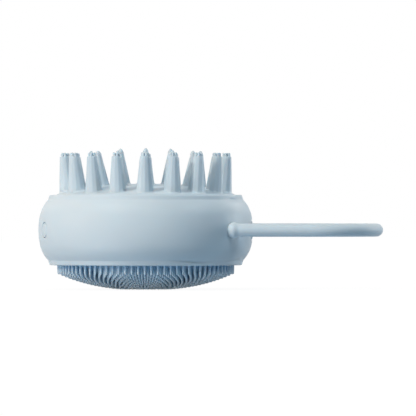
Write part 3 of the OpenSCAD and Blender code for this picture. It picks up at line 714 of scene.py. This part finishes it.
def tips_z(radius):
    """Height of the bristle tips, which are level where the massager stands on them."""
    return max(bowl_z(radius), -MID_Z)


def backing_z(radius):
    return bowl_z(radius) + BRISTLE_LENGTH


backing_outer = radial_line(backing_z, BACKING_EDGE, steps=30)
backing_flange = [
    (33.18, -12.18), (33.2, -12.0), (34.8, -12.0), (34.8, -TUCK), (ROOM_RADIUS, -TUCK),
]
backing_room = radial_line(backing_z, ROOM_RADIUS, ROOM_STEPS)
backing_inner = [(r, z + FACE_THICKNESS) for r, z in reversed(backing_room)]
backing_profile = backing_outer + backing_flange + backing_inner
print("backing profile has", len(backing_profile), "points")

# %% [markdown]
# Light that reaches the roots of the bristles has passed through silicone several times, so it
# turns a deeper blue there. That shade is painted into the colour: the finish finds how deep a
# point lies from the bowl that the tips form, and paints a deeper blue the deeper it lies.

# %% Silicone of the brush
SHADE_FROM, SHADE_FULL = 0.4, 3.2  # depth under the tips where the painted shade starts and is full

silicone_brush, tree, shader, place, ramp = moulded_silicone(
    "moulded_silicone_brush", "#c2d5e1", "#bcd0de", 0.42
)
place_xyz = add_node(tree, "ShaderNodeSeparateXYZ", Vector=place.outputs["Object"])
on_plan = add_node(
    tree, "ShaderNodeVectorMath", {"operation": "MULTIPLY", 1: (1, 1, 0)},
    Vector=place.outputs["Object"],
)
radius = add_node(
    tree, "ShaderNodeVectorMath", {"operation": "LENGTH"}, Vector=on_plan.outputs["Vector"]
)
bowl = calculate(tree, "DIVIDE", radius.outputs["Value"], BRUSH_REACH * MM)
bowl = calculate(tree, "POWER", bowl, BRUSH_POWER)
tips = calculate(tree, "MULTIPLY_ADD", bowl, BRUSH_DEPTH * MM, (MID_Z + BRUSH_LOWEST) * MM)
painted_shade_share = add_node(
    tree, "ShaderNodeMapRange",
    {"From Min": SHADE_FROM * MM, "From Max": SHADE_FULL * MM, "To Min": 0.0, "To Max": 1.0},
    Value=calculate(tree, "SUBTRACT", place_xyz.outputs["Z"], tips),
)
# in a Mix node of colours, input 0 is the share, 6 and 7 are the colours and output 2 the result
# painted shade: the base colour turns a deeper blue towards the roots of the bristles
bristle_shade_mix = add_node(tree, "ShaderNodeMix", {"data_type": "RGBA", 7: linear(PAINTED_BRISTLE_SHADE)})
tree.links.new(painted_shade_share.outputs["Result"], bristle_shade_mix.inputs[0])
tree.links.new(ramp.outputs["Color"], bristle_shade_mix.inputs[6])
tree.links.new(bristle_shade_mix.outputs[2], shader.inputs["Base Color"])
print("nodes in the brush's silicone", len(tree.nodes))

# %% Bristles
BRISTLE_SIDES = 10
BRISTLE_ROOT = 0.4  # how far a bristle goes into the backing
OUTER_RING = 32.5
OUTER_COUNT = 84
RING_PITCH = 1.35
LEAST_PITCH = 1.4  # bristles of a ring are at least this far apart
LEAST_COUNT = 5
BACKING_SEGMENTS = 168


def bristle_rings():
    """(ring radius, bristles in it), from the outside in."""
    radius, count = OUTER_RING, OUTER_COUNT
    while radius > 1.0:
        if 2 * math.pi * radius / count < LEAST_PITCH:
            count = max(count // 2, LEAST_COUNT)
        yield radius, count
        radius -= RING_PITCH
    yield 0.0, 1


def bristle(x, y, root_z, tip_z):
    """A peg that narrows from 1.1 mm to a round tip."""
    tall = root_z - tip_z
    stations = [  # (radius, distance below the root)
        (0.55, 0.0), (0.52, 0.45), (0.47, tall - 0.95), (0.44, tall - 0.5), (0.37, tall - 0.24),
        (0.24, tall - 0.07), (0.1, tall - 0.01),
    ]
    rings = [
        [(x + px, y + py, root_z - down) for px, py in circle_points(r, BRISTLE_SIDES)]
        for r, down in stations
    ]
    return skin_rings(rings, cap_ends=True)


bristles = []
for number, (ring_radius, count) in enumerate(bristle_rings()):
    root_z, tip_z = backing_z(ring_radius) + BRISTLE_ROOT, tips_z(ring_radius)
    for i in range(count):
        angle = math.radians(-90 + 360 * (i + 0.5 * (number % 2)) / count)
        x, y = ring_radius * math.cos(angle), ring_radius * math.sin(angle)
        bristles.append(bristle(x, y, root_z, tip_z))
make_piece(
    "bristle_brush", together(revolve(backing_profile, BACKING_SEGMENTS), *bristles),
    silicone_brush, stands_for=["brush_bristles", "brush_pad"], sharp_angle=60,
)
print("bristles", len(bristles))

# %% [markdown]
# ## The loop
# The loop is a soft cord, 4.9 mm thick, moulded in one piece with a bead at each end that seals
# it in the sleeve. A ring swept along the route gives both: only its radius changes at a bead.

# %% Loop
BEND_X = 62.2
BEND_STEPS = 96
LEG_STEPS = 12
LOOP_SIDES = 56

leg = [(22.5, LOOP_RADIUS), (28.0, LOOP_RADIUS), (29.2, LOOP_RADIUS)] + bead_stations
leg += [(lerp(BEAD_TO, BEND_X, i / LEG_STEPS), LOOP_RADIUS) for i in range(1, LEG_STEPS)]
bend = []
for i in range(BEND_STEPS + 1):
    angle = math.radians(-90 + 180 * i / BEND_STEPS)
    bend.append((BEND_X + LEG_Y * math.cos(angle), LEG_Y * math.sin(angle), LOOP_RADIUS))
# the route as stations of (x, y, radius): in along one leg, round the bend and back
route = [(x, -LEG_Y, r) for x, r in leg] + bend + [(x, LEG_Y, r) for x, r in reversed(leg)]

turns = [2 * math.pi * k / LOOP_SIDES for k in range(LOOP_SIDES)]
rings = []
for i, (x, y, r) in enumerate(route):
    before, after = route[max(i - 1, 0)], route[min(i + 1, len(route) - 1)]
    along = Vector((after[0] - before[0], after[1] - before[1], 0)).normalized()
    across = Vector((along.y, -along.x, 0))
    rings.append([
        (x + across.x * r * math.cos(turn), y + across.y * r * math.cos(turn), r * math.sin(turn))
        for turn in turns
    ])
make_piece(
    "carrying_loop", skin_rings(rings, cap_ends=True), silicone_loop, stands_for=["carry_loop"]
)
print("loop stations", len(rings))

# %% [markdown]
# ## The button and the port's flap
# Both are pads of the same silicone that lie in the barrel's surface with a fine groove round
# them. Each is drawn as outlines that shrink towards the middle, each outline lifted onto the
# barrel: the first outlines turn over the edge, so the rounding follows the curved wall.

# %% Pads on the barrel
EDGE_STEPS = 6
FACE_SHARES = (0.75, 0.5, 0.25, 0.02)  # outlines over the face, as shares of the outermost
BOX_CORNER = 0.35
BOX_POINTS = 32


def pad_on_barrel(outline, inner_x, proud, edge, centre=(0.0, 0.0)):
    """A pad from its back, round its edge and over its face."""
    def lifted(inset, share, drop):
        here = [(centre[0] + y * share, centre[1] + z * share) for y, z in outline(inset)]
        return [(barrel_point(y, z, proud) - drop, y, z) for y, z in here]

    rings = [[(inner_x, y, z) for _, y, z in lifted(0.0, 1.0, 0.0)]]
    for step in range(EDGE_STEPS + 1):
        turn = math.radians(90 * step / EDGE_STEPS)
        rings.append(lifted(edge * (1 - math.cos(turn)), 1.0, edge * (1 - math.sin(turn))))
    rings += [lifted(edge, share, 0.0) for share in FACE_SHARES]
    return skin_rings(rings, cap_ends=True)


def rounded_box(width, height):
    """An outline with rounded corners, as a function of its inset."""
    def outline(inset):
        corners = []
        for i in range(BOX_POINTS):
            angle = 2 * math.pi * (i + 0.5) / BOX_POINTS
            side_y = math.copysign(width / 2 - BOX_CORNER, math.cos(angle))
            side_z = math.copysign(height / 2 - BOX_CORNER, math.sin(angle))
            radius = BOX_CORNER - inset
            corners.append((side_y + radius * math.cos(angle), side_z + radius * math.sin(angle)))
        return corners
    return outline


# %% Button, with the flange that holds it behind the skin
BUTTON_RADIUS = 2.6
BUTTON_BACK_X = 37.75
FLANGE_RADIUS = 3.5
FLANGE_FRONT_X = 38.35


def button_outline(inset):
    return circle_points(BUTTON_RADIUS - inset, 72)


button = together(
    pad_on_barrel(button_outline, BUTTON_BACK_X, proud=0.0, edge=0.3),
    turned_rod([(BUTTON_BACK_X, FLANGE_RADIUS), (FLANGE_FRONT_X, FLANGE_RADIUS)]),
)
make_piece(
    "power_button", turned(button, BUTTON_AZIMUTH), silicone_skin,
    body="button", stands_for=["button_cap"],
)
print("button made")

# %% Flap, with its tab and its plug
FLAP_PROUD = 0.17
FLAP_BACK_X = 38.55
TAB_BACK_X = 38.6
TAB_CENTRE = (7.7, 0.0)


def flap_outline(inset):
    return stadium_outline(FLAP_LENGTH - 2 * inset, FLAP_HEIGHT - 2 * inset, 96)


flap = together(
    pad_on_barrel(flap_outline, FLAP_BACK_X, FLAP_PROUD, edge=0.25),
    pad_on_barrel(rounded_box(1.5, 2.8), TAB_BACK_X, FLAP_PROUD, edge=0.12, centre=TAB_CENTRE),
    prism(stadium_outline(9.6, 3.9), 37.75, 38.75),
)
make_piece("port_flap", flap, silicone_skin, body="cover", stands_for=["port_cover"])
print("flap made")

# %% Strap, with the bead that the flap swings on
HINGE_X, HINGE_Y, HINGE_BEAD = 38.9, 9.0, 0.45
STRAP_BACK_X = 37.95
STRAP_CENTRE = (10.2, 0.0)

hinge_bead = [
    [(HINGE_X + x, HINGE_Y + y, z) for x, y in circle_points(HINGE_BEAD - cut_back, 24)]
    for z, cut_back in [(-1.7, 0.12), (-1.58, 0.0), (1.58, 0.0), (1.7, 0.12)]
]
strap = together(
    pad_on_barrel(rounded_box(2.4, 3.4), STRAP_BACK_X, 0.0, edge=0.12, centre=STRAP_CENTRE),
    skin_rings(hinge_bead, cap_ends=True),
)
make_piece("flap_strap", strap, silicone_skin, stands_for=["cover_hinge"])
print("strap made")

# %% [markdown]
# ## Finishes of the inner parts
# The flap opens on a socket, and the housing can be taken apart, so the parts inside get real
# finishes as well: moulded ABS, turned brass, drawn steel, a green solder mask, ferrite and
# copper. One table gives each finish its colour, gloss and grain, at the grain's real size.

# %% Inner finishes
INNER_FINISHES = {
    # slot: (name, pale, deep, metallic, roughness, grain in mm, relief in mm)
    "housing_plastic": ("moulded_abs", "#ecedeb", "#e4e6e3", 0.0, 0.5, 0.3, 0.008),
    "seal_rubber": ("pressed_rubber", "#34383b", "#2a2d30", 0.0, 0.6, 0.25, 0.01),
    "steel": ("drawn_steel", "#c4c7ca", "#b3b6ba", 1.0, 0.32, 0.2, 0.004),
    "board_laminate": ("solder_mask", "#2f6f49", "#27603f", 0.0, 0.35, 0.5, 0.006),
    "black_plastic": ("black_epoxy", "#2b2d30", "#202224", 0.0, 0.5, 0.2, 0.006),
    "ferrite": ("pressed_ferrite", "#3b3d40", "#2f3134", 0.2, 0.55, 0.15, 0.01),
    "capacitor_ceramic": ("fired_ceramic", "#b89a6c", "#a88a5d", 0.0, 0.45, 0.1, 0.004),
    "led_lens": ("clear_epoxy", "#f4f4ea", "#eeeee2", 0.0, 0.12, 0.4, 0.002),
    "cell_sleeve": ("shrink_film", "#3f74a6", "#396b9b", 0.0, 0.25, 2.0, 0.01),
    "lead_jacket": ("pvc_jacket", "#a52b2b", "#972424", 0.0, 0.4, 0.5, 0.004),
    "foam": ("closed_cell_foam", "#6d7377", "#585e62", 0.0, 0.9, 0.25, 0.05),
    "brass": ("turned_brass", "#d6b465", "#c4a055", 1.0, 0.28, 0.2, 0.004),
    "copper": ("wound_copper", "#c98055", "#b56f47", 1.0, 0.35, 0.25, 0.02),
}
slot_finishes = {"soft_silicone": silicone_skin}
for slot, (name, pale, deep, metallic, roughness, grain_mm, relief_mm) in INNER_FINISHES.items():
    material, tree, shader = new_finish(name)
    shader.inputs["Metallic"].default_value = metallic
    place = surface_grain(tree, shader, grain_mm, relief_mm, roughness, spread=0.04)
    mottle(tree, shader, place, size_mm=6, pale=pale, deep=deep)
    slot_finishes[slot] = material

slot_of_node = {part["node"]: part["material_slot"] for part in frame["record"]["subparts"]}
for node, piece in frame["nodes"].items():
    piece.data.materials.clear()
    piece.data.materials.append(slot_finishes[slot_of_node[node]])
print("finished", len(frame["nodes"]), "CAD parts")

# %% [markdown]
# ## Floor, sky and lamps
# The photograph has a plain white ground. The floor and the sky are white only to the camera, in
# reflections and through clear parts, so they don't flood the object with light, and the floor
# still shows the object's shadow. All the light comes from broad soft lamps, as from the
# softboxes of a studio: a warm one on the left makes the form, one above it draws the highlight
# on the shoulder, cooler ones on the right keep the dark side blue, and one shines up under the
# brush, as it does when a product stands on a sheet of glass.

# %% What is seen directly
def seen_directly(tree):
    """1 for rays from the camera, reflected rays and rays through clear parts, otherwise 0."""
    rays = add_node(tree, "ShaderNodeLightPath").outputs
    seen = calculate(tree, "MAXIMUM", rays["Is Camera Ray"], rays["Is Glossy Ray"])
    return calculate(tree, "MAXIMUM", seen, rays["Is Transmission Ray"])


# %% Floor
FLOOR_HALF = 4.0  # metres
FLOOR_Z = -0.0001
PAPER_SHADE = (0.09, 0.09, 0.09, 1)  # linear: what the lamps add to the paper's own glow
PAPER_GLOW = 0.935
FLOOR_BOUNCE = (0.21, 0.34, 0.46, 1)  # linear: the cool light that the floor gives the object

corners = [(-1, -1), (1, -1), (1, 1), (-1, 1)]
floor_mesh = bpy.data.meshes.new("floor")
floor_mesh.from_pydata(
    [(x * FLOOR_HALF, y * FLOOR_HALF, 0) for x, y in corners], [], [(0, 1, 2, 3)]
)
floor = bpy.data.objects.new("floor", floor_mesh)
floor.location.z = FLOOR_Z
floor.visible_shadow = False  # the lamp below it shines through, as through glass
bpy.context.scene.collection.objects.link(floor)

floor_material, tree, shader = new_finish("white_paper")
tree.nodes.remove(shader)
paper = add_node(tree, "ShaderNodeBsdfDiffuse", {"Color": PAPER_SHADE})
glow = add_node(tree, "ShaderNodeEmission", {"Color": (1, 1, 1, 1), "Strength": PAPER_GLOW})
seen = add_node(tree, "ShaderNodeAddShader")
bounce = add_node(tree, "ShaderNodeBsdfDiffuse", {"Color": FLOOR_BOUNCE})
choice = add_node(tree, "ShaderNodeMixShader", Fac=seen_directly(tree))
for source, target in [
    (paper.outputs["BSDF"], seen.inputs[0]),
    (glow.outputs["Emission"], seen.inputs[1]),
    (bounce.outputs["BSDF"], choice.inputs[1]),
    (seen.outputs["Shader"], choice.inputs[2]),
    (choice.outputs["Shader"], tree.nodes["Material Output"].inputs["Surface"]),
]:
    tree.links.new(source, target)
floor_mesh.materials.append(floor_material)
print("floor", 2 * FLOOR_HALF, "m wide")

# %% Sky
world = bpy.data.worlds.new("white_sky")
bpy.context.scene.world = world
world.use_nodes = True
tree = world.node_tree
background = tree.nodes["Background"]
background.inputs["Color"].default_value = (1, 1, 1, 1)
tree.links.new(seen_directly(tree), background.inputs["Strength"])
print("sky", world.name)


# %% Lamps
def softbox(name, azimuth, elevation, strength, colour, width, mirrored=True):
    """A far lamp in a direction, as wide as width degrees, that glossy parts may mirror."""
    data = bpy.data.lights.new(name, "SUN")
    data.color = linear(colour)[:3]
    data.energy, data.angle = strength, math.radians(width)
    around, up = math.radians(azimuth), math.radians(elevation)
    towards = Vector(
        (math.cos(around) * math.cos(up), math.sin(around) * math.cos(up), math.sin(up))
    )
    light = bpy.data.objects.new(name, data)
    light.rotation_euler = towards.to_track_quat("Z", "Y").to_euler()
    light.location = towards + Vector((0, 0, MID_Z * MM))
    light.visible_glossy = mirrored
    bpy.context.scene.collection.objects.link(light)


softbox("key_left", -140, 25, 1.2, "#fff3ea", 6, mirrored=False)
softbox("overhead", -100, 65, 0.8, "#fffefe", 8, mirrored=False)
softbox("shoulder_light", -143, 51, 0.75, "#fff8ee", 10)
softbox("far_left", -170, 10, 0.4, "#ffdcc4", 25)
softbox("front_low", -125, 5, 0.36, "#fffaf2", 25)
softbox("under_brush", -140, -25, 0.74, "#f8fbff", 20)
softbox("fill_right", -20, 45, 0.75, "#dff2ff", 20)
softbox("right_low", 25, 5, 0.69, "#fcfeff", 20)
softbox("rim_right", 45, 25, 0.44, "#fff4eb", 20)
softbox("rim_left", 135, 25, 0.12, "#ffffff", 20)
print("lamps", [light.name for light in bpy.data.lights])
